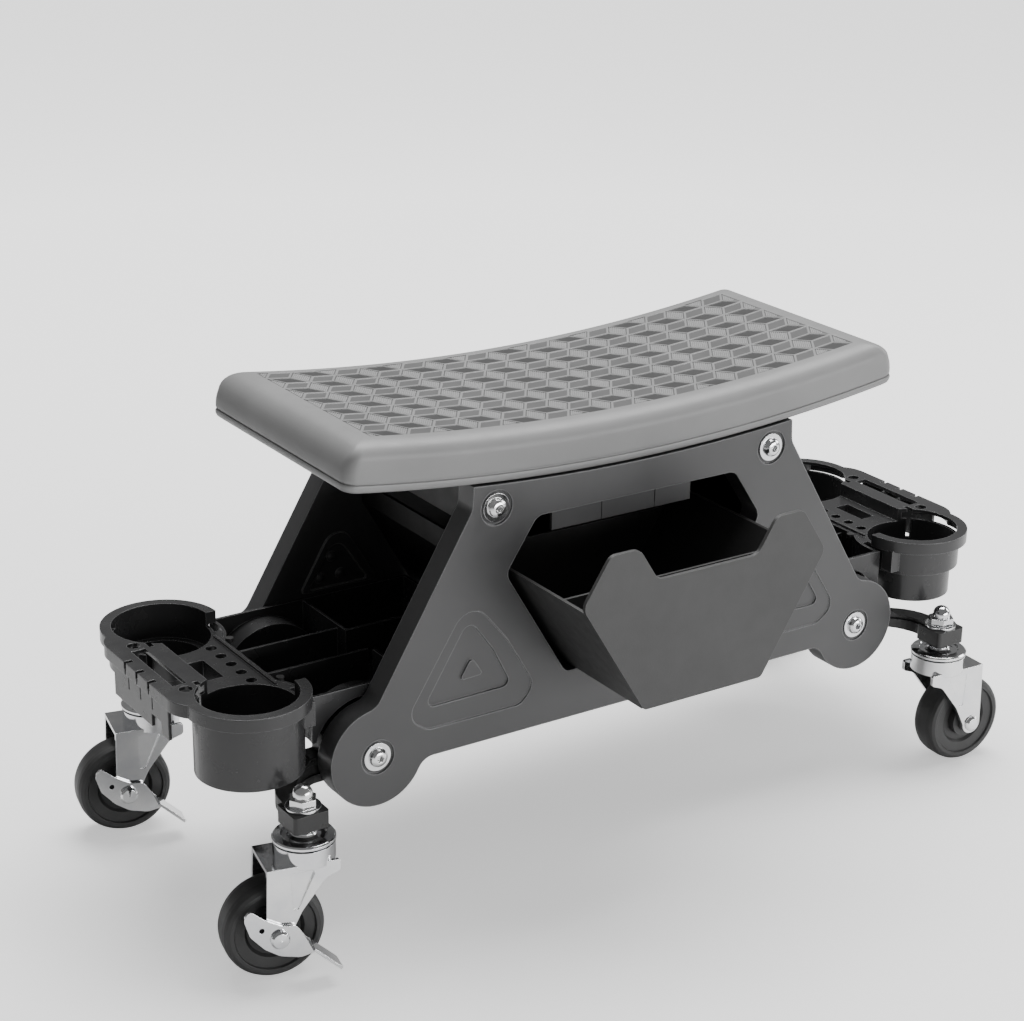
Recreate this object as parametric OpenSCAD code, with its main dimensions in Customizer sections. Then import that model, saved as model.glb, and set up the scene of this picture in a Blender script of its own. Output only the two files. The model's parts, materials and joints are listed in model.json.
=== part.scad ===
// Rolling work seat: saddle cushion on two side panels, a pull-out drawer between them,
// a tool tray at each end and four swivel casters, the two left ones with brakes.
// Millimetres, +X along the cushion, -Y the drawer side, +Z up, floor at z = 0.

/* [Seat] */
// Length of the cushion along X
seat_length = 504; // [490:1:512]
// Depth of the cushion along Y
seat_depth = 208; // [200:1:216]
// Thickness of the cushion
seat_thickness = 37; // [30:1:42]
// Height of the cushion's middle above the floor
seat_height = 360; // [356:1:372]
// Radius of the saddle curve along the cushion's top
saddle_radius = 1650; // [1400:10:2200]

/* [Side panels] */
// Distance between the outer faces of the two side panels
panel_span = 208; // [204:1:212]
// Thickness of a side panel
panel_thickness = 20; // [16:1:22]
// Height of the panel's straight bottom edge
panel_bottom = 124.3; // [122:0.1:126]
// Half the width of the panel at its top corners
panel_top_half = 147; // [144:1:150]
// Distance from the middle to the centre of an ear at the panel's foot
ear_x = 228.5; // [226:0.5:231]
// Height of the ear's centre
ear_z = 134.8; // [133:0.1:137]
// Radius of the ear
ear_radius = 39; // [37:0.5:40]

/* [Drawer] */
// How far the drawer stands out at rest
drawer_pull = 88; // [60:1:90]
// Length of the drawer's trough along Y
drawer_length = 181; // [160:1:182]
// Half the width of the drawer's front at its widest
drawer_half = 111.4; // [108:0.1:112]

/* [Trays] */
// Height of the upper rim of a caddy
rim_height = 196; // [194:1:198]
// Height of the tool plate and of the bin's rim
plate_height = 184.5; // [183:0.5:186]
// Distance from the middle to the centre of a cup along X
cup_x = 316; // [315:0.5:317]
// Distance from the middle to the centre of a cup along Y
cup_y = 71.8; // [71:0.1:73]
// Inner radius of a cup
cup_radius = 37.5; // [36:0.5:38]
// Distance from the middle to the outer edge of a caddy
caddy_reach = 369; // [366:1:370]

/* [Casters] */
// Wheel radius
wheel_radius = 37.5; // [35:0.5:38]
// Wheel width
wheel_width = 26; // [22:1:28]
// Distance the axle trails behind the swivel axis
trail = 25.7; // [22:0.1:27]
// Distance from the middle to a caster's swivel axis along X
stem_x = 303.2; // [302:0.1:304]
// Distance from the middle to a caster's swivel axis along Y
stem_y = 127.5; // [126:0.5:129]
// Rest angle of the two left casters, from +X to the trailing side
left_turn = 168.5; // [150:0.5:180]
// Rest angle of the front right caster
front_right_turn = -3; // [-30:1:30]
// Rest angle of the rear right caster
rear_right_turn = -12; // [-30:1:30]

/* [Hidden] */
$fn = 72;
fine_fn = 160;
eps = 0.01;
wall = 2.5;

// seat
saddle_centre = seat_height + saddle_radius;
under_radius = saddle_radius + seat_thickness;
base_gap = 0.3;
base_plate = 6;
base_half = 135;
base_bottom = 288;
seat_corner = 11.5;
seat_edge = 11;

// side panels
panel_y = panel_span / 2;
inner_y = panel_y - panel_thickness;
structure_y = inner_y - 0.5;
side_slope = 0.594;
side_start = [panel_top_half + 1.4, 310.7];
opening_top = 295.7;
opening_middle = 255;
opening_bottom = 163.6;
opening_half = [92, 119, 64];
top_bolt = [127.6, 309];
bolt_radius = 4;
bolt_clear = 4.2;
counterbore_radius = 13.5;
counterbore_depth = 2;
washer_radius = 11;
washer_thickness = 1.6;

// drawer
drawer_slope = (drawer_half - 54.6) / 92.4;
drawer_bottom = 164.6;
drawer_middle = 257;
drawer_top = 293;
tray_top = 253;
front_thickness = 3;
front_y = -panel_y - drawer_pull;
tray_front = front_y + front_thickness;
tray_back = tray_front + drawer_length;
divider_y = tray_front + 29;

// casters
block_low = 113;
block_high = 126;
block_half = 14;
stem_radius = 6;
run_gap = 0.05;
fork_low = 88;
fork_high = 91;
fork_half = 20;
sheet = 3;
crown_high = 97;
race_low = 102;
axle_radius = 4;
ball_radius = 2.4;
ball_ring = 17;
ball_count = 16;

corners = [[-1, -1], [-1, 1], [1, -1], [1, 1]];
turns = [left_turn, left_turn, front_right_turn, rear_right_turn];

// the origin stands under the middle of everything, drawer out
rear_reach = stem_y + trail * sin(left_turn) + 23.63;
origin_y = -(front_y + rear_reach) / 2;

black = [0.10, 0.10, 0.11];
charcoal = [0.20, 0.20, 0.21];
grey = [0.42, 0.42, 0.43];
zinc = [0.80, 0.81, 0.82];
rubber = [0.14, 0.14, 0.14];

// ---------------------------------------------------------------- shared shapes

function unit(v) = v / norm(v);

// arc points that round the corner p1 between p0 and p2
function corner_arc(p0, p1, p2, r, n) =
    let (a = unit(p0 - p1), b = unit(p2 - p1), half = acos(a * b) / 2)
    let (c = p1 + unit(a + b) * (r / sin(half)))
    let (s = p1 + a * (r / tan(half)) - c, e = p1 + b * (r / tan(half)) - c)
    let (a0 = atan2(s.y, s.x), sweep = (atan2(e.y, e.x) - a0 + 540) % 360 - 180)
    [for (i = [0:n]) c + r * [cos(a0 + sweep * i / n), sin(a0 + sweep * i / n)]];

// outline with each corner i rounded to radii[i]
function rounded(points, radii, n = 7) =
    let (k = len(points))
    [for (i = [0:k - 1]) each
        corner_arc(points[(i + k - 1) % k], points[i], points[(i + 1) % k], radii[i], n)];

// the points followed by their mirror images across the vertical axis
function mirrored(points) =
    concat(points, [for (i = [len(points) - 1:-1:0]) [-points[i].x, points[i].y]]);

// a flat outline in X and Z, as a plate from y0 to y1
module plate(y0, y1) {
    translate([0, y1, 0]) rotate([90, 0, 0]) linear_extrude(y1 - y0) children();
}

// a cylinder along Y from y0 to y1
module rod_y(x, z, r, y0, y1) {
    translate([x, y1, z]) rotate([90, 0, 0]) cylinder(r = r, h = y1 - y0);
}

module rod_z(x, y, r, z0, z1) {
    translate([x, y, z0]) cylinder(r = r, h = z1 - z0);
}

// a box given by two opposite corners
module box(low, high) {
    translate(low) cube(high - low);
}

module rounded_square(size, r) {
    for (sx = [-1, 1], sy = [-1, 1])
        translate([sx * (size.x / 2 - r), sy * (size.y / 2 - r)]) circle(r = r);
    square([size.x, size.y - 2 * r], center = true);
    square([size.x - 2 * r, size.y], center = true);
}

// the space below the cushion's curved underside, less the gap
module under_seat(gap, half_x, half_y, low) {
    difference() {
        box([-half_x, -half_y, low], [half_x, half_y, seat_height + 20]);
        translate([0, half_y + 1, saddle_centre])
            rotate([90, 0, 0])
            cylinder(r = under_radius + gap, h = 2 * half_y + 2, $fn = 720);
    }
}

// ---------------------------------------------------------------- seat

module seat_section() {
    translate([saddle_radius + seat_thickness / 2, 0])
        rounded_square([seat_thickness, seat_depth], seat_edge);
}

module seat_pad() {
    color(grey) intersection() {
        translate([0, 0, saddle_centre])
            rotate([0, 99, 0]) rotate([90, 0, 0])
            rotate_extrude(angle = 18, $fn = 720)
            seat_section();
        translate([0, 0, seat_height - seat_thickness - 1])
            linear_extrude(seat_thickness + 40)
            rounded_square([seat_length, seat_depth], seat_corner);
    }
}

// inverted tray under the cushion: curved top plate, walls, and bosses the upper bolts screw into
module seat_base() {
    color(charcoal) difference() {
        union() {
            intersection() {
                under_seat(base_gap, 222, 82, 300);
                translate([0, 0, saddle_centre]) rotate([90, 0, 0])
                    cylinder(r = under_radius + base_gap + base_plate, h = 220, center = true, $fn = 720);
            }
            difference() {
                under_seat(base_gap + 1, base_half, structure_y, base_bottom);
                under_seat(base_gap + base_plate - 1, base_half - 4, structure_y - 4, base_bottom - 1);
            }
            for (sx = [-1, 1], sy = [-1, 1])
                rod_y(sx * (top_bolt.x - 2), top_bolt.y, 9.3, sy < 0 ? -structure_y : structure_y - 34,
                    sy < 0 ? -structure_y + 34 : structure_y);
        }
        // clear of the panels' curved top edges
        for (sy = [-1, 1])
            box([-160, sy * (inner_y + panel_thickness / 2) - panel_thickness / 2 - 0.5, 200],
                [160, sy * (inner_y + panel_thickness / 2) + panel_thickness / 2 + 0.5, seat_height]);
        for (sx = [-1, 1], sy = [-1, 1])
            rod_y(sx * top_bolt.x, top_bolt.y, bolt_radius + run_gap, sy < 0 ? -panel_y : structure_y - 31,
                sy < 0 ? -structure_y + 31 : panel_y);
    }
}

// pale folded strip that hangs behind the opening's top edge and stops the drawer from tipping
module seat_flange() {
    color(grey) difference() {
        box([-65, -structure_y, 272], [65, -structure_y + 3, base_bottom]);
        for (x = [-20, 30])
            box([x, -structure_y - 1, 271], [x + 1, -structure_y + 0.6, base_bottom + 1]);
    }
}

// ---------------------------------------------------------------- side panels

// where the arc between two neighbours of radius r, tangent to the ear, has its centre
module ear_fillets(r) {
    low = [ear_x - sqrt(pow(ear_radius + r, 2) - pow(panel_bottom - r - ear_z, 2)), panel_bottom - r];
    touch = [ear_x, ear_z] + (low - [ear_x, ear_z]) * (ear_radius / (ear_radius + r));
    difference() {
        polygon([[low.x, panel_bottom + 2], [low.x, panel_bottom], touch, [ear_x, ear_z]]);
        translate(low) circle(r = r);
    }
    along = unit([-side_slope, 1]);
    across = [along.y, -along.x];
    inside = (side_start - [ear_x, ear_z]) * across;
    out = r + inside;
    rise = sqrt(pow(ear_radius + r, 2) - out * out);
    high = [ear_x, ear_z] + across * out + along * rise;
    difference() {
        polygon([[ear_x, ear_z], [ear_x, ear_z] + (high - [ear_x, ear_z]) * (ear_radius / (ear_radius + r)),
                 high, high - across * r]);
        translate(high) circle(r = r);
    }
}

module panel_outline() {
    foot = side_start + [side_slope, -1] * (side_start.y - panel_bottom);
    polygon(rounded(mirrored([
        [ear_x - 20, panel_bottom],
        [foot.x - side_slope * 30, panel_bottom + 30],
        side_start,
        [panel_top_half, 334]]), [1, 1, 14, 3, 3, 14, 1, 1]));
    for (s = [0, 1]) mirror([s, 0]) {
        translate([ear_x, ear_z]) circle(r = ear_radius, $fn = fine_fn);
        ear_fillets(14);
    }
}

module opening_outline() {
    polygon(rounded(mirrored([
        [opening_half[2], opening_bottom],
        [opening_half[1], opening_middle],
        [opening_half[0], opening_top]]), [8, 10, 10, 10, 10, 8]));
}

// the three nested triangles pressed into each side of a panel
module triangle_outline(level) {
    outer = [[150, 243], [204, 158], [186, 146], [104, 146], [92, 160], [117.7, 203.8]];
    inner = [[150, 226], [189, 163], [112, 164], [128.5, 196.7]];
    small = [[147.5, 195], [158, 178], [137, 179]];
    if (level == 0) polygon(rounded(outer, [16, 12, 12, 12, 12, 60]));
    if (level == 1) polygon(rounded(inner, [7, 5, 5, 40]));
    if (level == 2) polygon(rounded(small, [3, 2, 2]));
}

// raised triangle on a panel's inner face, with a sunk middle that carries three low domes
module inner_boss() {
    outer = [[155.8, 247], [191, 187], [120, 187]];
    middle = [[157.5, 232], [183, 189], [129, 189]];
    domes = [[161.5, 214], [172.5, 197.5], [153.7, 198.1]];
    rise = 1.6;
    plate(-inner_y - eps, -inner_y + rise) difference() {
        polygon(rounded(outer, [14, 3, 3]));
        polygon(rounded(middle, [9, 2, 2]));
    }
    for (p = domes)
        intersection() {
            translate([p.x, -inner_y - 2, p.y]) sphere(r = 4.8, $fn = 36);
            box([p.x - 5, -inner_y - eps, p.y - 5], [p.x + 5, -inner_y + 3, p.y + 5]);
        }
}

// panel standing with its outer face at y = -panel_y
module side_panel(open) {
    color(charcoal) for (s = [0, 1]) mirror([s, 0, 0]) inner_boss();
    color(charcoal) difference() {
        intersection() {
            plate(-panel_y, -inner_y) panel_outline();
            under_seat(1, 300, panel_y + 1, 50);
        }
        if (open) plate(-panel_y - 1, -inner_y + 1) opening_outline();
        if (!open) plate(-panel_y - 1, -panel_y + 2) opening_outline();
        for (s = [0, 1]) mirror([s, 0, 0]) {
            plate(-panel_y - 1, -panel_y + 1.2) triangle_outline(0);
            plate(-panel_y - 1, -panel_y + 3) difference() {
                triangle_outline(1);
                triangle_outline(2);
            }
            for (p = [top_bolt, [ear_x, ear_z]]) {
                rod_y(p.x, p.y, bolt_clear, -panel_y - 1, -inner_y + 1);
                rod_y(p.x, p.y, counterbore_radius, -panel_y - 1, -panel_y + counterbore_depth);
            }
        }
    }
}

module panel_pair_points() {
    for (sx = [-1, 1], sy = [-1, 1], p = [top_bolt, [ear_x, ear_z]])
        translate([sx * p.x, 0, p.y]) rotate([0, 0, sy < 0 ? 0 : 180]) children();
}

// button-head bolt with a hexagon socket, head outwards
module panel_bolts() {
    seat_y = -panel_y + counterbore_depth - washer_thickness;
    color(zinc) panel_pair_points() difference() {
        union() {
            rod_y(0, 0, bolt_radius, seat_y - 1, -inner_y + 30);
            translate([0, seat_y, 0]) rotate([90, 0, 0]) rotate_extrude()
                polygon([[0, 0], [7.5, 0], [7.4, 1.2], [6.6, 2.8], [5.0, 4.0], [3.6, 4.4], [0, 4.4]]);
        }
        translate([0, seat_y - 2, 0]) rotate([90, 0, 0]) cylinder(r = 2.9, h = 4, $fn = 6);
    }
}

module panel_washers() {
    seat_y = -panel_y + counterbore_depth;
    color(zinc) panel_pair_points() difference() {
        rod_y(0, 0, washer_radius, seat_y - washer_thickness, seat_y);
        rod_y(0, 0, bolt_radius + run_gap, seat_y - 3, seat_y + 1);
    }
}

// ---------------------------------------------------------------- drawer

// fixed trough between the panels: slanted walls, upright lips and slide rails
module drawer_guide() {
    outer = [[76, 156.5], [93.5, 187], [133, 255], [133, 272]];
    inner = [[130, 272], [130, 256], [90.4, 187.8], [74.3, 159.5]];
    color(black) {
        plate(-structure_y, structure_y)
            for (s = [0, 1]) mirror([s, 0]) polygon(concat(
                [[-eps, 156.5]], outer, inner, [[-eps, 159.5]]));
        for (s = [0, 1]) mirror([s, 0, 0]) {
            box([34, -structure_y, 159], [46, structure_y, drawer_bottom - 0.4]);
            plate(-structure_y, structure_y)
                polygon([[70, 185], [91, 185], [91, 188], [70, 188]]);
        }
        // closed rear end
        plate(structure_y - 2, structure_y) polygon(mirrored([[75, 158], [92, 187], [131.5, 255], [131.5, 272]]));
    }
}

function drawer_half_at(z) = 54.6 + (z - drawer_bottom) * drawer_slope;

// trough outline between two heights, its walls moved in by t
module trough_outline(t, top) {
    polygon(mirrored([
        [drawer_half_at(drawer_bottom + t) - t * 1.17, drawer_bottom + t],
        [drawer_half_at(top) - t * 1.17, top]]));
}

module drawer_tray() {
    color(charcoal) difference() {
        plate(tray_front, tray_back) trough_outline(0, tray_top);
        plate(tray_front - 1, tray_back - wall) trough_outline(wall, tray_top + 1);
        plate(tray_back - wall - 1, tray_back + 1)
            polygon([[-120, 236], [120, 236], [120, 260], [-120, 260]]);
    }
}

module drawer_divider() {
    color(charcoal) plate(divider_y, divider_y + 2)
        trough_outline(wall + 0.2, tray_top - 1);
}

// six-sided front with a wide finger notch between two horns
module drawer_front() {
    color(charcoal) plate(front_y, tray_front) polygon(rounded(mirrored([
        [54.6, drawer_bottom],
        [drawer_half, drawer_middle],
        [88, drawer_top],
        [63, drawer_top],
        [46, 266]]), [5, 9, 8, 10, 11, 11, 10, 8, 9, 5]));
}

// ---------------------------------------------------------------- trays, built for the +X end

arch_radius = 41;
bin_low = 147.5;
bin_inner = 94.5;
bin_outer = 280.5;
bin_y = inner_y - 1.5;

module bin_hollow(t) {
    difference() {
        box([bin_inner + t, -bin_y + t, bin_low + t], [bin_outer - t, bin_y - t, plate_height + 1]);
        for (sy = [-1, 1]) {
            rod_z(cup_x, sy * cup_y, cup_radius + 9 + t, bin_low - 1, plate_height + 2);
            rod_y(ear_x, ear_z, arch_radius + t, sy < 0 ? -bin_y - 1 : bin_y - 19 - t,
                sy < 0 ? -bin_y + 19 + t : bin_y + 1);
        }
    }
}

module bin() {
    low = bin_low + wall - eps;
    thin = 2;
    color(black) {
        difference() {
            intersection() {
                bin_hollow(0);
                box([0, -200, 0], [400, 200, plate_height]);
            }
            bin_hollow(wall);
        }
        intersection() {
            union() {
                box([188, -bin_y + 1, low], [188 + thin, -11, plate_height - 1]);
                box([188, 30, low], [188 + thin, bin_y - 1, plate_height - 1]);
                box([189, -24 - thin, low], [bin_outer - 1, -24, plate_height - 4]);
                box([189, 20, low], [bin_outer - 1, 20 + thin, plate_height - 4]);
                box([bin_inner + 1, -11 - thin, low], [188 + thin, -11, plate_height - 1]);
            }
            bin_hollow(wall - 0.5);
        }
    }
}

module caddy_outline(t) {
    for (sy = [-1, 1])
        translate([cup_x, sy * cup_y]) circle(r = cup_radius + 8.5 - t, $fn = fine_fn);
    translate([(285 + caddy_reach) / 2, 0])
        rounded_square([caddy_reach - 285 - 2 * t, 156 - 2 * t], 26 - t);
    translate([281 + t, -60]) square([40, 120]);
}

module caddy() {
    strip_x = 331;
    window_x = 308;
    band = 10;
    skin = 3;
    color(black) difference() {
        union() {
            difference() {
                translate([0, 0, rim_height - band]) linear_extrude(band) caddy_outline(0);
                translate([0, 0, rim_height - band - 1]) linear_extrude(band + 1 - skin) intersection() {
                    caddy_outline(wall);
                    translate([strip_x + skin, -100]) square([60, 200]);
                }
            }
            // plate and the riser up to the strip
            translate([0, 0, plate_height - 5]) linear_extrude(rim_height - plate_height + 4) intersection() {
                caddy_outline(0);
                translate([270, -60]) square([strip_x + skin - 270, 120]);
            }
            // cup bodies: one straight, one stepped
            rod_z(cup_x, cup_y, cup_radius + wall, 137, rim_height - band + 1);
            rod_z(cup_x, -cup_y, cup_radius + wall, 165, rim_height - band + 1);
            rod_z(cup_x, -cup_y, cup_radius - 3.5, 139.5, 166);
            // skirt below the outer edge
            difference() {
                box([caddy_reach - 5, -46, 160], [caddy_reach - 2.5, 46, rim_height - band + 1]);
                box([caddy_reach - 9, 18, 159], [caddy_reach, 34, 170]);
            }
            // deep socket under the plate's square hole
            box([window_x - 2, -19, 168], [window_x + 16, 19, 183]);
            // snap lugs beside the bin
            for (sy = [-1, 1])
                box([274, sy * 88 - 6, 168], [284, sy * 88 + 6, rim_height - band + 1]);
        }
        // plate step between the cups
        box([260, -cup_y, plate_height], [strip_x, cup_y, rim_height + 5]);
        // cups
        rod_z(cup_x, cup_y, cup_radius, 140, rim_height + 5);
        rod_z(cup_x, -cup_y, cup_radius, 167.5, rim_height + 5);
        rod_z(cup_x, -cup_y, cup_radius - 6, 142, rim_height);
        // five tool holes and the square hole of the plate
        for (i = [-2:2])
            rod_z(293.3, i * 16.5, 4.25, 170, rim_height);
        box([window_x, -17, 160], [window_x + 14, 17, rim_height]);
        // strip: two round holes, long slot, two small slots
        for (sy = [-1, 1]) {
            rod_z(351, sy * 44, 5, 170, rim_height + 5);
            box([338, sy * 40 - 4, 170], [342, sy * 40 + 4, rim_height + 5]);
        }
        box([346, -35, 170], [357, 35, rim_height + 5]);
        // wrench notches in the outer edge, each with a shallow groove below it
        for (i = [-1:1]) {
            box([caddy_reach - 6, i * 20 - 2, rim_height - 6], [caddy_reach + 2, i * 20 + 2, rim_height + 5]);
            box([caddy_reach - 3.3, i * 20 - 1, rim_height - 22], [caddy_reach + 2, i * 20 + 1, rim_height - 5]);
        }
    }
    // lip along the plate's edge beside the bin
    color(black) box([281.2, -50, plate_height - 1], [283.2, 50, plate_height + 2]);
}

// screws down through the plate's corners into the bin's end wall
module tray_screws() {
    color(zinc) for (s = [-1, 1], sy = [-1, 1]) {
        rod_z(s * 274, sy * 41, 3, plate_height - 2.2, plate_height + 1.4);
    }
}

// ---------------------------------------------------------------- arms and cross tubes

module cross_tube() {
    color(black) difference() {
        rod_y(ear_x, ear_z, 10, -inner_y + 18.2, inner_y - 18.2);
        rod_y(ear_x, ear_z, bolt_radius + run_gap, -inner_y, inner_y);
    }
}

arm_half = 8.5;
bar_y = -structure_y + 8.75;
bend_x = 266;
bend_radius = stem_x - bend_x;

// quarter bend of the arm in plan, at a given radius
function bend_arc(r) =
    [for (i = [0:10]) [bend_x + r * sin(9 * i), bar_y - bend_radius + r * cos(9 * i)]];

function reversed(list) = [for (i = [len(list) - 1:-1:0]) list[i]];

// strip of the arm in plan, between two radii of its bend
module arm_plan(inner, outer) {
    polygon(concat(
        [[ear_x, bar_y - bend_radius + outer]], bend_arc(outer), [[bend_x + outer, -stem_y]],
        [[bend_x + inner, -stem_y]], reversed(bend_arc(inner)), [[ear_x, bar_y - bend_radius + inner]]));
}

// arm of the front right corner: hub behind the ear, curved bar, square end block
module arm() {
    color(black) difference() {
        union() {
            rod_y(ear_x, ear_z, 34, -structure_y, -structure_y + 17.5);
            intersection() {
                translate([0, 0, 100]) linear_extrude(50)
                    arm_plan(bend_radius - arm_half, bend_radius + arm_half);
                plate(-200, 0) polygon([
                    [200, 116], [272, 116], [292, block_low + 0.6], [330, block_low + 0.6],
                    [330, block_high - 0.6], [289.5, block_high - 0.6], [272, 136.2], [200, 138]]);
            }
            translate([stem_x, -stem_y, block_low])
                linear_extrude(block_high - block_low) rounded_square([28, 28], 3);
        }
        rod_y(ear_x, ear_z, bolt_clear, -panel_y, 0);
        rod_z(stem_x, -stem_y, stem_radius + run_gap, block_low - 1, block_high + 20);
        // shallow channel along the side that faces the drawer side
        translate([0, 0, 122.5]) linear_extrude(8.5)
            arm_plan(bend_radius - arm_half - 5, bend_radius - arm_half + 2);
    }
}

// ---------------------------------------------------------------- casters

module at_corner(i) {
    translate([corners[i].x * stem_x, corners[i].y * stem_y, 0]) children();
}

module at_caster(i) {
    at_corner(i) rotate([0, 0, turns[i]]) children();
}

// the swivel pin: shaft through the arm, shoulder under the fork plate
module caster_stems() {
    color(zinc) for (i = [0:3]) at_corner(i) {
        rod_z(0, 0, stem_radius, fork_low - 4, block_high + 10);
        rod_z(0, 0, 10.5, fork_low - 4.5, fork_low - 0.3);
    }
}

module cap_nuts() {
    low = block_high + 2.2;
    color(zinc) for (i = [0:3]) at_corner(i) difference() {
        union() {
            translate([0, 0, low]) cylinder(r = 10.6, h = 6, $fn = 6);
            rod_z(0, 0, 7.3, low + 5, low + 8.6);
            translate([0, 0, low + 8.6]) intersection() {
                sphere(r = 7.3);
                box([-10, -10, -0.5], [10, 10, 10]);
            }
        }
        rod_z(0, 0, stem_radius + run_gap, low - 1, block_high + 10.5);
    }
}

module stem_washers() {
    color(zinc) for (i = [0:3]) at_corner(i) difference() {
        rod_z(0, 0, 13, block_high, block_high + 2.1);
        rod_z(0, 0, stem_radius + run_gap, block_high - 1, block_high + 4);
    }
}

// domed upper race, fixed under the arm's block
module upper_raceways() {
    color(zinc) for (i = [0:3]) at_corner(i) difference() {
        rotate_extrude() polygon([
            [0, race_low], [22.4, race_low], [23.2, race_low + 0.9], [23.2, race_low + 2.6], [22, race_low + 3.6],
            [16.8, race_low + 4.4], [15.6, race_low + 3.3], [12.4, race_low + 3.3], [9.6, race_low + 4.6],
            [8.8, race_low + 6], [8.8, block_low], [0, block_low]]);
        rod_z(0, 0, stem_radius + run_gap, race_low - 1, block_low + 1);
        translate([0, 0, race_low - 0.01]) rotate_extrude()
            translate([ball_ring, 0]) circle(r = 0.9, $fn = 24);
    }
}

module balls(i) {
    color(zinc) at_caster(i) for (k = [0:ball_count - 1])
        rotate([0, 0, k * 360 / ball_count])
        translate([ball_ring, 0, (crown_high + race_low) / 2]) sphere(r = ball_radius, $fn = 24);
}

// one leg's side view, from the round crown down to the axle
module leg_outline() {
    polygon(rounded([[-21, fork_high], [33, fork_high], [34.7, 37.5], [trail, 28.5], [16.7, 37.5],
                     [8, 55], [-10, 78], [-21, 82]], [2, 2, 7, 3, 7, 25, 12, 3]));
    translate([trail, wheel_radius]) circle(r = 9);
}

module fork(i) {
    color(zinc) at_caster(i) difference() {
        union() {
            rod_z(0, 0, 22.6, fork_low, crown_high);
            box([0, -fork_half, fork_low], [33, fork_half, fork_high]);
            // lower race ring
            difference() {
                rod_z(0, 0, 22.6, crown_high - 1, crown_high + 4.2);
                rod_z(0, 0, 20.4, crown_high - 2, crown_high + 5);
            }
            for (sy = [-1, 1])
                plate(sy > 0 ? fork_half - sheet : -fork_half, sy > 0 ? fork_half : -fork_half + sheet)
                    leg_outline();
        }
        rod_z(0, 0, stem_radius + run_gap, fork_low - 1, crown_high + 1);
        rod_y(trail, wheel_radius, axle_radius + run_gap, -fork_half - 1, fork_half + 1);
        // sloping pressed panels in both legs
        for (s = [0, 1]) mirror([0, s, 0])
            translate([16.5, fork_half - 0.3, 0]) rotate([0, 0, 5]) translate([-16.5, 0, 0]) plate(0, 8)
                polygon(rounded([[-3, 86], [16, 86], [14.6, 57], [10.6, 57]], [2, 2, 1, 1]));
    }
}

braked = [true, true, false, false];

// through bolt with a round head each end; longer where a brake lever sits on it
module axle(i) {
    head = braked[i] ? fork_half + 3.2 : fork_half + 0.3;
    color(zinc) at_caster(i) {
        rod_y(trail, wheel_radius, axle_radius, -fork_half - 1, head + 1);
        translate([trail, head, wheel_radius]) rotate([-90, 0, 0]) rotate_extrude()
            polygon([[0, 0], [7, 0], [7, 1.6], [5.6, 3.2], [0, 4.2]]);
        translate([trail, -fork_half - 0.3, wheel_radius]) rotate([90, 0, 0]) rotate_extrude()
            polygon([[0, 0], [6.6, 0], [6.6, 1.4], [5, 2.8], [0, 3.6]]);
    }
}

module hub(i) {
    color(rubber) at_caster(i) difference() {
        union() {
            rod_y(trail, wheel_radius, 14, -13.5, 13.5);
            rod_y(trail, wheel_radius, 9, -fork_half + sheet + 0.4, fork_half - sheet - 0.4);
        }
        rod_y(trail, wheel_radius, axle_radius + run_gap, -fork_half, fork_half);
    }
}

// half section of the tyre: rounded tread, raised side ring, recessed web
function tyre_half(w) = [
    [14.2, 0], [14.2, w - 6], [20.0, w - 6], [22.0, w - 3.4], [29.6, w - 2.6], [30.4, w - 0.6],
    [33.2, w - 0.4], [35.6, w - 1.8], [37.0, w - 4.6], [37.5, w - 8], [37.5, 0]];

module tyre(i) {
    half = tyre_half(wheel_width / 2);
    k = wheel_radius / 37.5;
    color(rubber) at_caster(i) translate([trail, 0, wheel_radius]) rotate([90, 0, 0])
        rotate_extrude($fn = fine_fn)
        polygon([for (p = concat(half, [for (j = [len(half) - 1:-1:0]) [half[j].x, -half[j].y]]))
            [p.x < 15 ? p.x : p.x * k, p.y]]);
}

// crescent-shaped lever on the axle's end, with a foot pedal folded outwards
module brake_lever(i) {
    near = fork_half + 0.6;
    sheet_t = 2.2;
    color(zinc) at_caster(i) difference() {
        translate([trail, near, wheel_radius]) {
            plate(0, sheet_t) polygon(rounded([
                [26, 20], [21.5, 26.5], [9, 16], [-2, 9.5], [-12.5, 8.5], [-18.5, -1], [-28, -11.5],
                [-28, -15.5], [-15, -18], [0, -14], [11, -6.5], [21.5, 5.5]],
                [6, 3, 12, 12, 7, 12, 2, 4, 12, 14, 14, 8]));
            // pedal folded outwards along the lever's lower end
            translate([-19, 0, -2]) rotate([0, -43.5, 0]) box([-32, 0, -sheet_t], [-4, 16, 0]);
        }
        rod_y(trail, wheel_radius, axle_radius + run_gap, near - 1, near + sheet_t + 1);
        rod_y(trail + 13, wheel_radius + 9, 2, near - 1, near + sheet_t + 1);
    }
}

// ---------------------------------------------------------------- placing

module placed() {
    translate([0, origin_y, 0]) children();
}

module left_end() {
    rotate([0, 0, 180]) children();
}

placed() seat_pad();
placed() seat_base();
placed() seat_flange();
placed() side_panel(true);  // side_panel_front
placed() rotate([0, 0, 180]) side_panel(false);  // side_panel_rear
placed() panel_bolts();
placed() panel_washers();
placed() drawer_guide();
placed() drawer_tray();
placed() drawer_front();
placed() drawer_divider();
placed() left_end() bin();  // bin_left
placed() bin();  // bin_right
placed() left_end() caddy();  // caddy_left
placed() caddy();  // caddy_right
placed() tray_screws();
placed() left_end() cross_tube();  // cross_tube_left
placed() cross_tube();  // cross_tube_right
placed() mirror([1, 0, 0]) arm();  // arm_front_left
placed() left_end() arm();  // arm_rear_left
placed() arm();  // arm_front_right
placed() mirror([0, 1, 0]) arm();  // arm_rear_right
placed() caster_stems();
placed() cap_nuts();
placed() stem_washers();
placed() upper_raceways();
placed() fork(0);  // fork_front_left
placed() fork(1);  // fork_rear_left
placed() fork(2);  // fork_front_right
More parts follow.
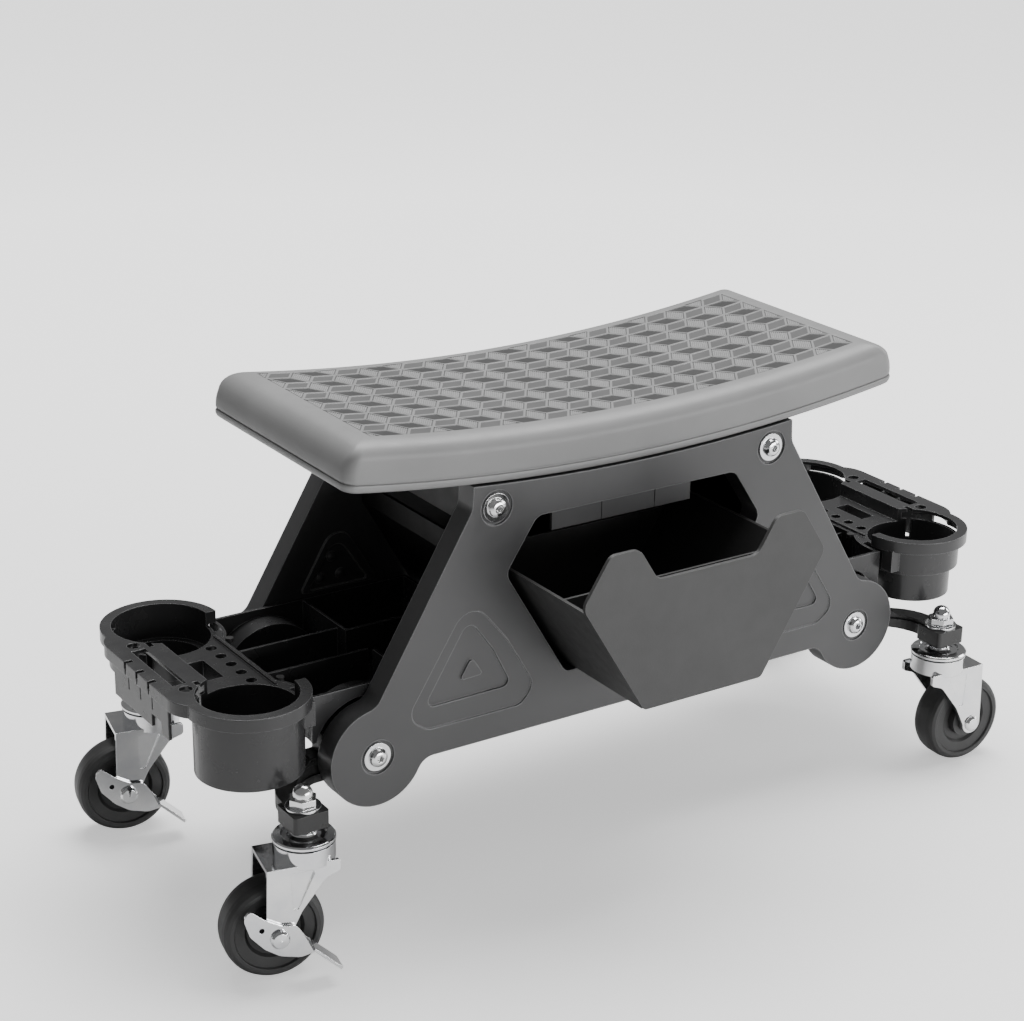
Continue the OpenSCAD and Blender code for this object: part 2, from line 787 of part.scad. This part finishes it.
placed() fork(3);  // fork_rear_right
placed() balls(0);  // balls_front_left
placed() balls(1);  // balls_rear_left
placed() balls(2);  // balls_front_right
placed() balls(3);  // balls_rear_right
placed() axle(0);  // axle_front_left
placed() axle(1);  // axle_rear_left
placed() axle(2);  // axle_front_right
placed() axle(3);  // axle_rear_right
placed() hub(0);  // hub_front_left
placed() hub(1);  // hub_rear_left
placed() hub(2);  // hub_front_right
placed() hub(3);  // hub_rear_right
placed() tyre(0);  // tyre_front_left
placed() tyre(1);  // tyre_rear_left
placed() tyre(2);  // tyre_front_right
placed() tyre(3);  // tyre_rear_right
placed() brake_lever(0);  // brake_lever_front_left
placed() brake_lever(1);  // brake_lever_rear_left
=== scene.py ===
"""Rolling work seat: looks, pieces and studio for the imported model."""

import json
import math

import bmesh
import bpy
from mathutils import Matrix, Vector, geometry


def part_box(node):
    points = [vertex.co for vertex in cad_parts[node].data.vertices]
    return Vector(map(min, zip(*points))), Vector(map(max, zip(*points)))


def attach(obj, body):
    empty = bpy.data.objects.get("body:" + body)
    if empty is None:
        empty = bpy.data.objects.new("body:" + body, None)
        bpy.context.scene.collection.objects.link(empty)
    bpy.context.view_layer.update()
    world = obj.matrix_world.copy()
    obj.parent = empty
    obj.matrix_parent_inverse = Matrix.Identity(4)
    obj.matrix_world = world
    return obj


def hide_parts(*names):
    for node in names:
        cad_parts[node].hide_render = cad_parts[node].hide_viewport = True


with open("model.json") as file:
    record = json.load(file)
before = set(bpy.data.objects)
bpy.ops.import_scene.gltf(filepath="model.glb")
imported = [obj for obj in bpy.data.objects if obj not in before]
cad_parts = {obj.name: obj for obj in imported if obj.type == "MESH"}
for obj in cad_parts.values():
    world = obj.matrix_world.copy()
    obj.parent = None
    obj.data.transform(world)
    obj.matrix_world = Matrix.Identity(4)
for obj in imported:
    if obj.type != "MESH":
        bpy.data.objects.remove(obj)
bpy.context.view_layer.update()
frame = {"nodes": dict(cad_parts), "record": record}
nodes = frame["nodes"]
MM = 0.001

# The structure's middle plane: the cushion is centred on it.
seat_low, seat_high = (Vector(c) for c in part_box("seat_pad"))
mid_y = (seat_low.y + seat_high.y) / 2


# ------------------------------------------------------------ materials

class Graph:
    """A small helper that adds shader nodes to one material."""

    def __init__(self, name):
        self.material = bpy.data.materials.new(name)
        self.material.use_nodes = True
        self.tree = self.material.node_tree
        self.shader = self.tree.nodes["Principled BSDF"]
        self.coords = self.add("ShaderNodeTexCoord").outputs["Object"]

    def add(self, kind, **settings):
        node = self.tree.nodes.new(kind)
        for key, value in settings.items():
            setattr(node, key, value)
        return node

    def link(self, source, target):
        self.tree.links.new(source, target)

    def feed(self, socket, value):
        """Links the socket to another node's output, or sets it to a plain value."""
        if isinstance(value, bpy.types.NodeSocket):
            self.link(value, socket)
        else:
            socket.default_value = value

    def stretched(self, scale):
        mapping = self.add("ShaderNodeMapping")
        mapping.inputs["Scale"].default_value = scale
        self.link(self.coords, mapping.inputs["Vector"])
        return mapping.outputs["Vector"]

    def noise(self, scale, detail=3.0, roughness=0.55, stretch=None):
        node = self.add("ShaderNodeTexNoise")
        node.inputs["Scale"].default_value = scale
        node.inputs["Detail"].default_value = detail
        node.inputs["Roughness"].default_value = roughness
        self.link(self.stretched(stretch) if stretch else self.coords, node.inputs["Vector"])
        return node.outputs["Fac"]

    def spots(self, scale):
        node = self.add("ShaderNodeTexVoronoi")
        node.inputs["Scale"].default_value = scale
        self.link(self.coords, node.inputs["Vector"])
        return node.outputs["Distance"]

    def range(self, value, low, high, start=0.0, end=1.0):
        node = self.add("ShaderNodeMapRange")
        node.inputs["From Min"].default_value = start
        node.inputs["From Max"].default_value = end
        node.inputs["To Min"].default_value = low
        node.inputs["To Max"].default_value = high
        self.link(value, node.inputs["Value"])
        return node.outputs["Result"]

    def mix(self, factor, first, second):
        node = self.add("ShaderNodeMix", data_type="RGBA")
        for name, value in (("Factor", factor), ("A", first), ("B", second)):
            self.feed(node.inputs[name], value)
        return node.outputs["Result"]

    def painted_edge_highlights(self, radius):
        """Mask of the painted edge highlights: 1 on rounded-over convex edges, 0 on flats, from the
        bevelled normal.
        """
        bevel = self.add("ShaderNodeBevel", samples=4)
        bevel.inputs["Radius"].default_value = radius
        flat = self.add("ShaderNodeNewGeometry").outputs["Normal"]
        dot = self.add("ShaderNodeVectorMath", operation="DOT_PRODUCT")
        self.link(bevel.outputs["Normal"], dot.inputs[0])
        self.link(flat, dot.inputs[1])
        return self.range(dot.outputs["Value"], 1.0, 0.0, 0.80, 0.995)

    def bump(self, height, distance, strength=1.0, radius=0.0):
        node = self.add("ShaderNodeBump")
        node.inputs["Distance"].default_value = distance
        node.inputs["Strength"].default_value = strength
        self.link(height, node.inputs["Height"])
        if radius:
            bevel = self.add("ShaderNodeBevel", samples=6)
            bevel.inputs["Radius"].default_value = radius
            self.link(bevel.outputs["Normal"], node.inputs["Normal"])
        self.link(node.outputs["Normal"], self.shader.inputs["Normal"])

    def set(self, **values):
        for key, value in values.items():
            self.feed(self.shader.inputs[key.replace("_", " ")], value)


def grey(value, tint=0.0):
    return (value, value, value * (1 + tint), 1)


def moulded(name, tone, roughness, grain=1400, depth=0.00006, edge=0.0006, edge_highlight_gain=1.35):
    """Injection-moulded plastic: fine grain, faint cloudiness, painted highlights on the edges."""
    g = Graph(name)
    cloud = g.noise(9, 4)
    base = g.mix(g.range(cloud, 0, 1, 0.35, 0.65), grey(tone * 0.92, 0.02), grey(tone * 1.08, 0.02))
    # convex edges are painted lighter by the given gain: a painted highlight
    g.set(Base_Color=g.mix(g.painted_edge_highlights(edge), base, grey(tone * edge_highlight_gain, 0.02)),
          Roughness=g.range(g.noise(60, 5), roughness - 0.05, roughness + 0.06, 0.3, 0.7),
          Specular_IOR_Level=0.5)
    g.bump(g.noise(grain, 2), depth, 0.6, edge)
    return g.material


def powder_coat(name, tone, roughness):
    """Powder-coated sheet: orange-peel surface over steel."""
    g = Graph(name)
    cloud = g.noise(14, 3)
    base = g.mix(g.range(cloud, 0, 1, 0.35, 0.65), grey(tone * 0.94), grey(tone * 1.06))
    # convex edges are painted 3.5 times lighter: a painted highlight
    g.set(Base_Color=g.mix(g.painted_edge_highlights(0.0006), base, grey(tone * 3.5)),
          Roughness=g.range(g.noise(90, 3), roughness - 0.04, roughness + 0.06, 0.3, 0.7),
          Specular_IOR_Level=0.5)
    g.bump(g.spots(700), 0.00005, 0.5, 0.0005)
    return g.material


def plated(name, tone, roughness):
    """Bright zinc plate: metallic, cloudy roughness, fine brushing and a hint of blue."""
    g = Graph(name)
    cloud = g.noise(35, 5, 0.65)
    dull = (tone * 0.86, tone * 0.87, tone * 0.90, 1)
    bright = (tone * 1.05, tone * 1.05, tone * 1.04, 1)
    g.set(Base_Color=g.mix(g.range(cloud, 0, 1, 0.3, 0.7), dull, bright),
          Metallic=1.0,
          Roughness=g.range(cloud, roughness - 0.06, roughness + 0.12, 0.3, 0.7))
    brushing = g.noise(220, 4, 0.7, (1, 1, 9))
    g.bump(brushing, 0.00004, 0.35, 0.0005)
    return g.material


def rubber(name, tone, roughness):
    """Solid rubber: dusty, with a soft moulded grain."""
    g = Graph(name)
    dust = g.noise(25, 6, 0.7)
    base = g.mix(g.range(dust, 0, 1, 0.4, 0.75), grey(tone), grey(tone * 1.5))
    g.set(Base_Color=base, Roughness=g.range(dust, roughness - 0.08, roughness + 0.12, 0.3, 0.7),
          Specular_IOR_Level=0.45)
    g.bump(g.noise(900, 3), 0.00006, 0.5, 0.0006)
    return g.material


def foam_skin(name, tone):
    """Integral-skin foam: matte, with a fine leathery grain and a soft sheen."""
    g = Graph(name)
    cloud = g.noise(12, 4)
    pores = g.spots(1500)
    base = g.mix(g.range(cloud, 0, 1, 0.35, 0.65), grey(tone * 0.95), grey(tone * 1.05))
    g.set(Base_Color=base, Roughness=g.range(g.noise(80, 4), 0.36, 0.46, 0.3, 0.7), Specular_IOR_Level=0.4)
    g.bump(pores, 0.00005, 0.4)
    return g.material


looks = {
    "seat_foam": foam_skin("seat foam skin", 0.24),
    "base_plastic": moulded("base plastic", 0.030, 0.5),
    "pale_plastic": moulded("pale plastic", 0.055, 0.45),
    # the panel and the tray get strong painted edge highlights from their last number
    "panel_plastic": moulded("panel plastic", 0.058, 0.36, edge=0.0016, edge_highlight_gain=4.5),
    "guide_plastic": moulded("guide plastic", 0.006, 0.5),
    "drawer_paint": powder_coat("drawer powder coat", 0.040, 0.5),
    "tray_plastic": moulded("tray plastic", 0.036, 0.24, grain=300, depth=0.000012, edge=0.0010, edge_highlight_gain=5.0),
    "arm_paint": powder_coat("arm powder coat", 0.018, 0.3),
    "bolt_zinc": plated("bolt zinc", 0.84, 0.10),
    "caster_zinc": plated("caster zinc", 0.86, 0.08),
    "dark_screw": powder_coat("black oxide", 0.03, 0.35),
    "hub_plastic": rubber("hub plastic", 0.030, 0.42),
    "wheel_rubber": rubber("wheel rubber", 0.028, 0.45),
}

for entry in frame["record"]["subparts"]:
    part = nodes[entry["node"]]
    part.data.materials.clear()
    part.data.materials.append(looks[entry["material_slot"]])


# ------------------------------------------------------------ cushion

# All in mm, in the cushion's own plan, with its middle at (0, 0).
SADDLE_RADIUS = 1650
SADDLE_CENTRE = 2010
# Half the length and width of the patterned field.
FIELD = (225, 87)
# Distance between tile columns and rows, and the corner of the first tile.
PITCH = (29.57, 28.7)
TILE_START = (143.1, -0.8)
# Edges of the three parallelograms that make up one block.
EDGE_U = Vector((19.7, 0))
EDGE_V = Vector((-9.87, 14.35))
EDGE_W = Vector((-9.87, -14.35))
# Radii that roll the top over at the ends and along the sides.
END_RADIUS = 27
SIDE_RADIUS = 13
# Points of a ring along the cushion, across it and round each corner.
RING_ALONG, RING_ACROSS, RING_ARC = 44, 14, 7
# How deep each kind of tile is pressed in, and the ribs' depth, number and share of a tile.
RELIEF = {"smooth": 0.4, "lined": 0.25, "ribbed": 0.45}
RIB_DEPTH = 0.05
RIB_COUNT = 9
RIB_SHARE = 0.60
# Materials of the tiles, in the order of the cushion's slots after its plain skin: the same foam with
# painted shade on the sunk, lined and ribbed floors and a painted highlight on the ribs.
TILE_SHADE_TONES = {"foam sunk tiles": 0.045, "foam lined tiles": 0.105,
              "foam ribs": 0.30, "foam ribbed floor": 0.12}
TILE_SLOTS = {"smooth": 1, "lined": 2, "rib": 3, "ribbed": 4}


def saddle_point(x, y, drop):
    """A point of the cushion, in mm: drop is measured down from the saddle surface."""
    top = SADDLE_CENTRE - math.sqrt(SADDLE_RADIUS ** 2 - x * x)
    return Vector((x, y, top - drop)) * MM + Vector((0, mid_y, 0))


def plan_ring(half_x, half_y, radius):
    """Rounded rectangle in plan, always with the same number of points."""
    points = []
    for quadrant, (sx, sy) in enumerate(((1, 1), (-1, 1), (-1, -1), (1, -1))):
        centre = Vector((sx * (half_x - radius), sy * (half_y - radius)))
        for i in range(RING_ARC + 1):
            angle = math.radians(90 * (quadrant + i / RING_ARC))
            points.append(centre + radius * Vector((math.cos(angle), math.sin(angle))))
        count = RING_ALONG if quadrant % 2 == 0 else RING_ACROSS
        reach = 2 * ((half_x if quadrant % 2 == 0 else half_y) - radius)
        step = Vector((-sx, 0)) if quadrant % 2 == 0 else Vector((0, -sy))
        points += [points[-1] + step * reach * k / count for k in range(1, count)]
    return points


def side_rings():
    """(half x, half y, corner radius, drop) of each ring from the pattern's edge to the underside."""
    reach, lip = 252.0, 252.4
    rings = []
    # the rolled top edge, closer together where it turns most
    drops = [0.0, 0.15, 0.5, 1.2, 2.2, 3.5, 5, 7, 9, 11, 13, 16, 19, 22, 25, 27, 28.6]
    for drop in drops:
        end = math.sqrt(END_RADIUS ** 2 - (END_RADIUS - min(drop, END_RADIUS)) ** 2) / END_RADIUS
        side = math.sqrt(SIDE_RADIUS ** 2 - (SIDE_RADIUS - min(drop, SIDE_RADIUS)) ** 2) / SIDE_RADIUS
        rings.append((FIELD[0] + (reach - FIELD[0]) * end, FIELD[1] + 1.5 + 15.5 * side,
                      4 + 6 * min(1, drop / 16), drop))
    rings[0] = (*FIELD, 4, 0)
    # the groove
    rings += [(reach - 0.2, 103.8, 10, 29.2), (reach - 1.0, 103.0, 9.5, 29.6),
              (reach - 1.0, 103.0, 9.5, 30.3), (reach, 104.0, 10, 30.8)]
    # the lip under it, rounded to the flat underside
    rings += [(lip, 104.3, 10, 32), (lip - 0.2, 104.1, 10, 34.0), (lip - 1.0, 103.3, 9.5, 35.6),
              (lip - 2.4, 101.9, 9, 36.6), (lip - 4.2, 100.1, 8, 37), (lip - 10, 94.5, 7, 37)]
    return rings


def inset(outline, amount):
    """The parallelogram moved in by the same amount on every side."""
    result = []
    count = len(outline)
    for i in range(count):
        before, here, after = outline[i - 1], outline[i], outline[(i + 1) % count]
        a, b = (here - before).normalized(), (after - here).normalized()
        turn = a.x * b.y - a.y * b.x
        result.append(here + (b - a) * amount / turn)
    return result


def clipped(outline, half_x, half_y):
    """The convex outline cut to the field's rectangle."""
    for axis, sign, limit in ((0, 1, half_x), (0, -1, half_x), (1, 1, half_y), (1, -1, half_y)):
        kept = []
        for i, here in enumerate(outline):
            before = outline[i - 1]
            inside, was_inside = here[axis] * sign <= limit, before[axis] * sign <= limit
            if inside != was_inside:
                kept.append(before.lerp(here, (sign * limit - before[axis]) / (here[axis] - before[axis])))
            if inside:
                kept.append(here)
        outline = kept
    tidy = [p for i, p in enumerate(outline) if (p - outline[i - 1]).length > 0.05]
    area = sum(tidy[i - 1].x * p.y - tidy[i - 1].y * p.x for i, p in enumerate(tidy)) / 2
    return tidy if len(tidy) > 2 and abs(area) > 1.5 else []


def tiles():
    """(kind, outline) of every tile whose cell touches the field."""
    for column in range(-13, 4):
        for row in range(-5, 6):
            start = Vector((TILE_START[0] + PITCH[0] * column,
                            TILE_START[1] + PITCH[1] * (row + (0.5 if column % 2 else 0))))
            yield "smooth", [start, start + EDGE_U, start + EDGE_U + EDGE_V, start + EDGE_V]
            yield "lined", [start, start + EDGE_W, start + EDGE_W + EDGE_U, start + EDGE_U]
            yield "ribbed", [start, start + EDGE_V, start + EDGE_V + EDGE_W, start + EDGE_W]


def strips(outline, first, second, count, fill):
    """Thin parallelograms inside a tile that run along its second edge."""
    origin = outline[0]
    for k in range(count):
        near, far = first * ((k + 0.5 - fill / 2) / count), first * ((k + 0.5 + fill / 2) / count)
        yield [origin + near, origin + far, origin + far + second, origin + near + second]


class Field:
    """Collects outlines at given depths for one constrained triangulation."""

    def __init__(self):
        self.points, self.depths, self.kinds, self.edges = [], [], [], []

    def loop(self, outline, depth, kind):
        start = len(self.points)
        for k, p in enumerate(outline):
            self.points.append(p)
            self.depths.append(depth)
            self.kinds.append(kind)
            self.edges.append((start + k, start + (k + 1) % len(outline)))

    def step(self, outline, upper, lower, margin, kind, limit):
        """An outline at one depth and a smaller one at another, both cut to the field."""
        top = clipped(outline, *limit)
        low = clipped(inset(outline, margin), limit[0] - margin, limit[1] - margin)
        if top and low:
            self.loop(top, upper, "rim")
            self.loop(low, lower, kind)
        return bool(top and low)


def pattern_field():
    """Tumbling-block tiles: sunk floors, lined floors and ribbed floors between thin borders."""
    field = Field()
    for kind, outline in tiles():
        depth = RELIEF[kind]
        sunk = inset(outline, 0.6 if kind == "ribbed" else 0.9)
        if not field.step(sunk, 0, depth, 0.3, kind, (FIELD[0] - 3, FIELD[1] - 1.4)):
            continue
        floor = inset(outline, 1.2)
        limit = (FIELD[0] - 4, FIELD[1] - 2.4)
        first, second = floor[1] - floor[0], floor[3] - floor[0]
        if kind == "ribbed":
            for strip in strips(floor, first, second, RIB_COUNT, RIB_SHARE):
                field.step(strip, depth, RIB_DEPTH, 0.16, "rib", limit)
    return field


def add_pattern(mesh, rim):
    """Triangulates the field inside the rim points and adds it to the bmesh."""
    field = pattern_field()
    field.loop([p.copy() for p in rim], 0, "rim")
    points, _, faces, origins, _, _ = geometry.delaunay_2d_cdt(field.points, field.edges, [], 0, 1e-5)
    made = []
    for point, origin in zip(points, origins):
        depth = field.depths[origin[0]] if origin else 0
        made.append(mesh.verts.new(saddle_point(point.x, point.y, depth)))
    for face in faces:
        kinds = [field.kinds[origins[v][0]] if origins[v] else "rim" for v in face]
        new = mesh.faces.new([made[v] for v in face])
        if new.normal.z < 0:
            new.normal_flip()
        common = kinds[0] if len(set(kinds)) == 1 else "rim"
        if {"ribbed", "rib"} >= set(kinds) or set(kinds) == {"rim", "ribbed"}:
            common = "rib" if "rim" not in kinds and kinds.count("rib") == 3 else "ribbed"
        new.material_index = TILE_SLOTS.get(common, 0)


def seat_cushion():
    """The saddle cushion as its own detailed piece."""
    mesh = bmesh.new()
    rings = side_rings()
    loops = []
    for half_x, half_y, radius, drop in rings:
        plan = plan_ring(half_x, half_y, radius)
        loops.append([mesh.verts.new(saddle_point(p.x, p.y, drop)) for p in plan])
    count = len(loops[0])
    for upper, lower in zip(loops, loops[1:]):
        for i in range(count):
            k = (i + 1) % count
            mesh.faces.new((upper[i], lower[i], lower[k], upper[k]))
    close_underside(mesh, loops[-1])
    add_pattern(mesh, plan_ring(*rings[0][:3]))
    bmesh.ops.remove_doubles(mesh, verts=mesh.verts, dist=0.00002)
    bmesh.ops.recalc_face_normals(mesh, faces=mesh.faces)
    data = bpy.data.meshes.new("seat_cushion")
    mesh.to_mesh(data)
    mesh.free()
    data.materials.append(looks["seat_foam"])
    # each tile kind gets a copy of the foam whose tone is painted shade, or a painted highlight on the
    # ribs
    for name, tone in TILE_SHADE_TONES.items():
        data.materials.append(foam_skin(name, tone))
    data.shade_smooth()
    data.set_sharp_from_angle(angle=math.radians(32))
    cushion = bpy.data.objects.new("seat_cushion", data)
    bpy.context.scene.collection.objects.link(cushion)
    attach(cushion, "frame")
    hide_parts("seat_pad")


def close_underside(mesh, loop):
    """A flat cap at each end and strips across the cushion between them."""
    far_arc = RING_ARC + RING_ALONG
    back_arc = far_arc + RING_ARC + RING_ACROSS
    last_arc = back_arc + RING_ARC + RING_ALONG
    mesh.faces.new(loop[last_arc:] + loop[:RING_ARC + 1])
    mesh.faces.new(loop[far_arc:back_arc + RING_ARC + 1])
    for i in range(RING_ARC, far_arc):
        k = RING_ARC + last_arc - i
        mesh.faces.new((loop[i], loop[i + 1], loop[k - 1], loop[k]))


seat_cushion()


# ------------------------------------------------------------ studio

def studio():
    bpy.ops.mesh.primitive_plane_add(size=30, location=(0, 0, -0.0002))
    floor = bpy.context.object
    floor.name = "floor"
    g = Graph("pale floor")
    away = g.add("ShaderNodeVectorMath", operation="LENGTH")
    g.link(g.coords, away.inputs[0])
    # brighter away from the object, and only faintly glowing to anything but the camera
    backdrop = g.range(away.outputs["Value"], 0.62, 1.6, 0.3, 2.2)
    seen = g.add("ShaderNodeLightPath").outputs["Is Camera Ray"]
    glow = g.add("ShaderNodeMix", data_type="FLOAT")
    for socket, value in (("Factor", seen), ("B", backdrop)):
        g.link(value, glow.inputs[socket])
    glow.inputs["A"].default_value = 0.10
    g.set(Base_Color=g.mix(g.noise(2, 2), grey(0.80), grey(0.82)), Roughness=0.6,
          Emission_Color=(1, 1, 1, 1), Emission_Strength=glow.outputs["Result"])
    floor.data.materials.append(g.material)

    world = bpy.data.worlds.new("studio")
    bpy.context.scene.world = world
    world.use_nodes = True
    tree = world.node_tree
    seen = tree.nodes.new("ShaderNodeLightPath").outputs["Is Camera Ray"]
    white = tree.nodes.new("ShaderNodeBackground")
    white.inputs["Color"].default_value = (1, 1, 1, 1)
    room = tree.nodes["Background"]
    room.inputs["Color"].default_value = (1, 1, 1, 1)
    room.inputs["Strength"].default_value = 0.18
    chosen = tree.nodes.new("ShaderNodeMixShader")
    tree.links.new(seen, chosen.inputs["Fac"])
    tree.links.new(room.outputs["Background"], chosen.inputs[1])
    tree.links.new(white.outputs["Background"], chosen.inputs[2])
    tree.links.new(chosen.outputs["Shader"], tree.nodes["World Output"].inputs["Surface"])

    def softbox(name, location, target, size, power):
        data = bpy.data.lights.new(name, "AREA")
        data.shape = "RECTANGLE"
        data.size, data.size_y = size
        data.energy = power
        lamp = bpy.data.objects.new(name, data)
        bpy.context.scene.collection.objects.link(lamp)
        lamp.location = location
        lamp.rotation_euler = (Vector(target) - Vector(location)).to_track_quat("-Z", "Y").to_euler()

    softbox("top softbox", (0.5, 0.5, 2.2), (0, 0, 0.2), (2.4, 1.3), 95)
    softbox("front softbox", (0.9, -2.4, 0.45), (0, 0, 0.25), (2.4, 0.6), 40)
    softbox("right softbox", (2.3, -0.5, 1.0), (0, 0, 0.2), (0.8, 1.2), 16)


def camera():
    """The photograph's view: from front left, a little above."""
    heading, elevation, roll = (math.radians(a) for a in (-33.41, 20.78, 0.70))
    position = Vector((-974.9, -1401.8, 895.1)) * MM + Vector((0, mid_y, 0))
    forward = Vector((-math.sin(heading) * math.cos(elevation), math.cos(heading) * math.cos(elevation),
                      -math.sin(elevation)))
    right = forward.cross(Vector((0, 0, 1))).normalized()
    up = right.cross(forward)
    rolled_right = right * math.cos(roll) + up * math.sin(roll)
    rolled_up = up * math.cos(roll) - right * math.sin(roll)
    data = bpy.data.cameras.new("camera")
    data.sensor_width = 36
    data.lens = 36 * 2292 / 1024
    data.shift_x = 5 / 1024
    data.clip_end = 100
    eye = bpy.data.objects.new("camera", data)
    bpy.context.scene.collection.objects.link(eye)
    turn = Matrix((rolled_right, rolled_up, -forward)).transposed().to_4x4()
    eye.matrix_world = Matrix.Translation(position) @ turn
    bpy.context.scene.camera = eye


camera()
studio()
